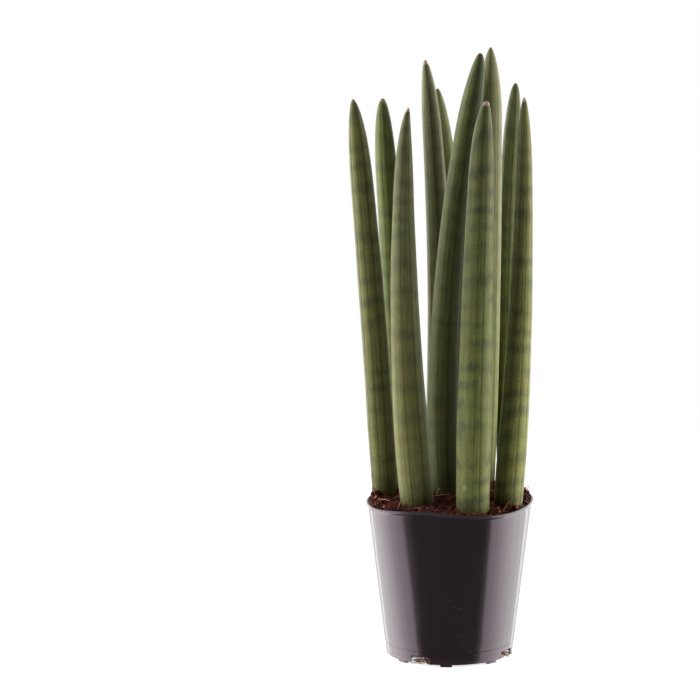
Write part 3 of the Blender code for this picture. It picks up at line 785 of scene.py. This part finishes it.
smudge = add(tree, "TexNoise", inputs={"Vector": straight, "Scale": 60.0, "Detail": 3.0})
smudge_mask = add(tree, "MapRange", {"interpolation_type": "SMOOTHSTEP"},
                  {"Value": smudge.outputs[0], "From Min": 0.34, "From Max": 0.60,
                   "To Min": 0.15, "To Max": 0.9})
band = add(tree, "Math", {"operation": "MULTIPLY"},
           {0: band_mask.outputs[0], 1: smudge_mask.outputs[0]})
band = add(tree, "Math", {"operation": "MULTIPLY"}, {0: band.outputs[0], 1: banding})
banded = add(tree, "Mix", {"data_type": "RGBA"},
             {0: band.outputs[0], 6: tissue.outputs[2], 7: linear("#41452F")})

# lengthwise strips and fibres, and fine mottling, make it lighter and darker; so do each leaf's own
# tone and the painted shade down its front
fibre_way = add(tree, "Mapping", inputs={"Vector": straight, "Scale": (1.0, 1.0, 0.03)}).outputs[0]
fibre_noise = add(tree, "TexNoise", inputs={"Vector": fibre_way, "Scale": 900.0, "Detail": 3.0,
                                            "Roughness": 0.6})
fibre_tone = add(tree, "MapRange", inputs={"Value": fibre_noise.outputs[0], "From Min": 0.25,
                                           "From Max": 0.75, "To Min": 0.80, "To Max": 1.20})
strip_tone = add(tree, "MapRange", inputs={"Value": strips.outputs[0], "From Min": 0.3,
                                           "From Max": 0.7, "To Min": 0.84, "To Max": 1.16})
mottle = add(tree, "TexNoise", inputs={"Vector": straight, "Scale": 900.0, "Detail": 3.0,
                                       "Roughness": 0.7})
mottle_tone = add(tree, "MapRange", inputs={"Value": mottle.outputs[0], "From Min": 0.3,
                                            "From Max": 0.7, "To Min": 0.76, "To Max": 1.24})
tone = fibre_tone.outputs[0]
for factor in (strip_tone.outputs[0], mottle_tone.outputs[0], tone_and_painted_shade):
    tone = add(tree, "Math", {"operation": "MULTIPLY"}, {0: tone, 1: factor}).outputs[0]
streaked = add(tree, "VectorMath", {"operation": "SCALE"}, {0: banded.outputs[2], "Scale": tone})

# painted shade along the furrows, broken here and there
furrow_shade_fade = add(tree, "MapRange", inputs={"Value": strips.outputs[0], "From Min": 0.3,
                                          "From Max": 0.6, "To Min": 0.25, "To Max": 0.8})
painted_furrow_shade = add(tree, "Math", {"operation": "MULTIPLY", "use_clamp": True},
           {0: furrow, 1: furrow_shade_fade.outputs[0]})
furrow_shaded = add(tree, "Mix", {"data_type": "RGBA"},
            {0: painted_furrow_shade.outputs[0], 6: streaked.outputs[0], 7: linear("#1E2316")})

# the foot: darker and dusted with brown crumbs just over the mix
soiled_height = add(tree, "MapRange", {"interpolation_type": "SMOOTHSTEP"},
                    {"Value": above_mix, "From Min": 2.0 * MM, "From Max": 17.0 * MM,
                     "To Min": 0.9, "To Max": 0.0})
soil_grain = add(tree, "MapRange", inputs={"Value": mottle.outputs[0], "From Min": 0.42,
                                           "From Max": 0.62})
soiled = add(tree, "Math", {"operation": "MULTIPLY"},
             {0: soiled_height.outputs[0], 1: soil_grain.outputs[0]})
soiled_tone = add(tree, "Mix", {"data_type": "RGBA"},
                  {0: soiled.outputs[0], 6: furrow_shaded.outputs[2], 7: linear("#3B2A1A")})

# the point: dry, brown on some leaves and pale on others, with an uneven edge
tip_edge = add(tree, "MapRange", inputs={"Value": smudge.outputs[0], "From Min": 0.3,
                                         "From Max": 0.7, "To Min": -1.0 * MM,
                                         "To Max": 1.0 * MM})
tip_place = add(tree, "Math", {"operation": "ADD"}, {0: below_tip, 1: tip_edge.outputs[0]})
dry_tip = add(tree, "MapRange", {"interpolation_type": "SMOOTHSTEP"},
              {"Value": tip_place.outputs[0], "From Min": 1.2 * MM, "From Max": 3.4 * MM,
               "To Min": 1.0, "To Max": 0.0})
dry_tone = add(tree, "Mix", {"data_type": "RGBA"},
               {0: pale_point, 6: linear("#5A4036"), 7: linear("#C2A096")})
tipped = add(tree, "Mix", {"data_type": "RGBA"},
             {0: dry_tip.outputs[0], 6: soiled_tone.outputs[2], 7: dry_tone.outputs[2]})

# small brown specks
spots = add(tree, "TexVoronoi", inputs={"Vector": straight, "Scale": 110.0})
spot_mask = add(tree, "ValToRGB", inputs={"Fac": spots.outputs["Distance"]},
                stops=((0.035, grey(1.0)), (0.075, grey(0.0))))
spot_pick = add(tree, "ValToRGB", inputs={"Fac": spots.outputs["Color"]},
                stops=((0.66, grey(0.0)), (0.70, grey(0.8))))
spot = add(tree, "Math", {"operation": "MULTIPLY"},
           {0: spot_mask.outputs[0], 1: spot_pick.outputs[0]})
spotted = add(tree, "Mix", {"data_type": "RGBA"},
              {0: spot.outputs[0], 6: tipped.outputs[2], 7: linear("#3A2A1C")})

# one corky scar, a pale ring on the front of a thick leaf a little over the mix
SCAR = (-6.3 * MM, -10.6 * MM, PATTERN_STEP * leaf_names.index("leaf_08") + 131.5 * MM)
from_scar = add(tree, "VectorMath", {"operation": "DISTANCE"}, {0: straight, 1: SCAR})
scar_ring = add(tree, "MapRange", inputs={"Value": from_scar.outputs["Value"], "To Max": 250.0})
scar_mask = add(tree, "ValToRGB", inputs={"Fac": scar_ring.outputs[0]}, stops=(
    (0.20, grey(0.35)), (0.36, grey(0.75)), (0.50, grey(0.0))))
spotted = add(tree, "Mix", {"data_type": "RGBA"},
              {0: scar_mask.outputs[0], 6: spotted.outputs[2], 7: linear("#A09A5C")})
leaf_gloss = add(tree, "MapRange", inputs={"Value": fibre_noise.outputs[0], "To Min": 0.44,
                                           "To Max": 0.64})
leaf_bump = add(tree, "Bump", inputs={"Height": fibre_noise.outputs[0], "Strength": 0.3,
                                      "Distance": 0.25 * MM})
leaf_shader = add(tree, "BsdfPrincipled", inputs={
    "Base Color": spotted.outputs[2], "Roughness": leaf_gloss.outputs[0], "IOR": 1.42,
    "Specular IOR Level": 0.32, "Specular Tint": (0.94, 1.0, 0.76, 1.0),
    "Normal": leaf_bump.outputs[0]})
add(tree, "OutputMaterial", inputs={"Surface": leaf_shader.outputs[0]})

for index, node in enumerate(leaf_names):
    make_leaf(index, node, leaf_material)


# ================================================================== studio
# A pale table top, a soft panel of light on each side and three panels behind, the outer
# two the brighter, with a white surround.

FLOOR_REACH = 1.1
floor_material, tree = new_material("plain pale table top")
place = add(tree, "TexCoord").outputs["Object"]
distance = add(tree, "VectorMath", {"operation": "LENGTH"}, {0: place})
floor_fade = add(tree, "MapRange", {"interpolation_type": "SMOOTHSTEP"},
                 {"Value": distance.outputs["Value"], "From Min": 0.35, "From Max": 1.0})
# The table top glows a little, and more to the eye than to the things that stand on it.
floor_seen = add(tree, "LightPath").outputs["Is Camera Ray"]
floor_glow = add(tree, "MapRange", inputs={"Value": floor_seen, "To Min": 0.35, "To Max": 0.75})
floor_shader = add(tree, "BsdfPrincipled", inputs={
    "Base Color": grey(0.85), "Roughness": 0.9, "Specular IOR Level": 0.0,
    "Emission Color": grey(1.0), "Emission Strength": floor_glow.outputs[0]})
beyond = add(tree, "BsdfTransparent")
floor_mix = add(tree, "MixShader", inputs={0: floor_fade.outputs[0], 1: floor_shader.outputs[0],
                                           2: beyond.outputs[0]})
add(tree, "OutputMaterial", inputs={"Surface": floor_mix.outputs[0]})
floor_turns = np.linspace(0.0, 2 * np.pi, 96, endpoint=False)
floor_ring = np.stack([np.cos(floor_turns), np.sin(floor_turns), 0 * floor_turns], axis=-1)
floor_ring *= FLOOR_REACH
floor_ring[:, 2] = -0.05 * MM
floor = new_piece("table_top", floor_ring, [list(range(96))], floor_material)
floor.visible_glossy = False


def light_panel(name, place, aim, size, radiance):
    """A rectangular soft light; its power is pi times its area times its radiance."""
    lamp = bpy.data.lights.new(name, "AREA")
    lamp.shape, lamp.size, lamp.size_y = "RECTANGLE", size[0], size[1]
    lamp.energy = np.pi * size[0] * size[1] * radiance
    panel = bpy.data.objects.new(name, lamp)
    panel.location = place
    turned = np.array(aim, float) - np.array(place, float)
    panel.rotation_euler = Vector(turned).to_track_quat("-Z", "Y").to_euler()
    panel.visible_camera = False
    bpy.context.scene.collection.objects.link(panel)


# Each side panel is made of strips along Y, dim at its front edge and brightest halfway; the
# left one is a little the stronger.
STRIP_EDGES = np.array([-0.82, -0.60, -0.42, -0.24, -0.06, 0.12, 0.30, 0.6, 1.0, 1.7])
STRIP_RADIANCE = np.array([0.45, 2.9, 3.2, 3.7, 4.2, 4.4, 4.0, 3.1, 2.1])
for side, turn, strength in (("left", -1.0, 1.15), ("right", 1.0, 1.0)):
    for number, (start, end) in enumerate(zip(STRIP_EDGES[:-1], STRIP_EDGES[1:])):
        middle = (start + end) / 2
        light_panel(f"{side}_panel_{number}", (turn, middle, 0.1), (0.0, middle, 0.1),
                    (end - start, 2.2), strength * STRIP_RADIANCE[number])
light_panel("back_panel", (0.0, 1.75, 0.3), (0.0, 0.0, 0.3), (1.2, 2.2), 1.3)
for side, turn in (("left", -1.0), ("right", 1.0)):
    light_panel(f"{side}_back_panel", (turn * 0.95, 1.75, 0.3), (turn * 0.95, 0.0, 0.3),
                (0.7, 2.2), 1.6)

world = bpy.data.worlds.new("white surround")
world.use_nodes = True
tree = world.node_tree
tree.nodes.clear()
seen = add(tree, "LightPath").outputs["Is Camera Ray"]
dim = add(tree, "Background", inputs={"Color": grey(1.0), "Strength": 0.05})
bright = add(tree, "Background", inputs={"Color": grey(1.0), "Strength": 1.0})
surround = add(tree, "MixShader", inputs={0: seen, 1: dim.outputs[0], 2: bright.outputs[0]})
add(tree, "OutputWorld", inputs={"Surface": surround.outputs[0]})
bpy.context.scene.world = world
bpy.context.scene.view_settings.view_transform = "Standard"

lens = bpy.data.cameras.new("camera")
lens.lens, lens.sensor_width = 174.0, 36.0
lens.shift_x = -0.142
camera = bpy.data.objects.new("camera", lens)
camera.location = (0.0, -2.4, 0.6015)
camera.rotation_euler = (np.radians(90.0 - 8.97), 0.0, 0.0)
bpy.context.scene.collection.objects.link(camera)
bpy.context.scene.camera = camera
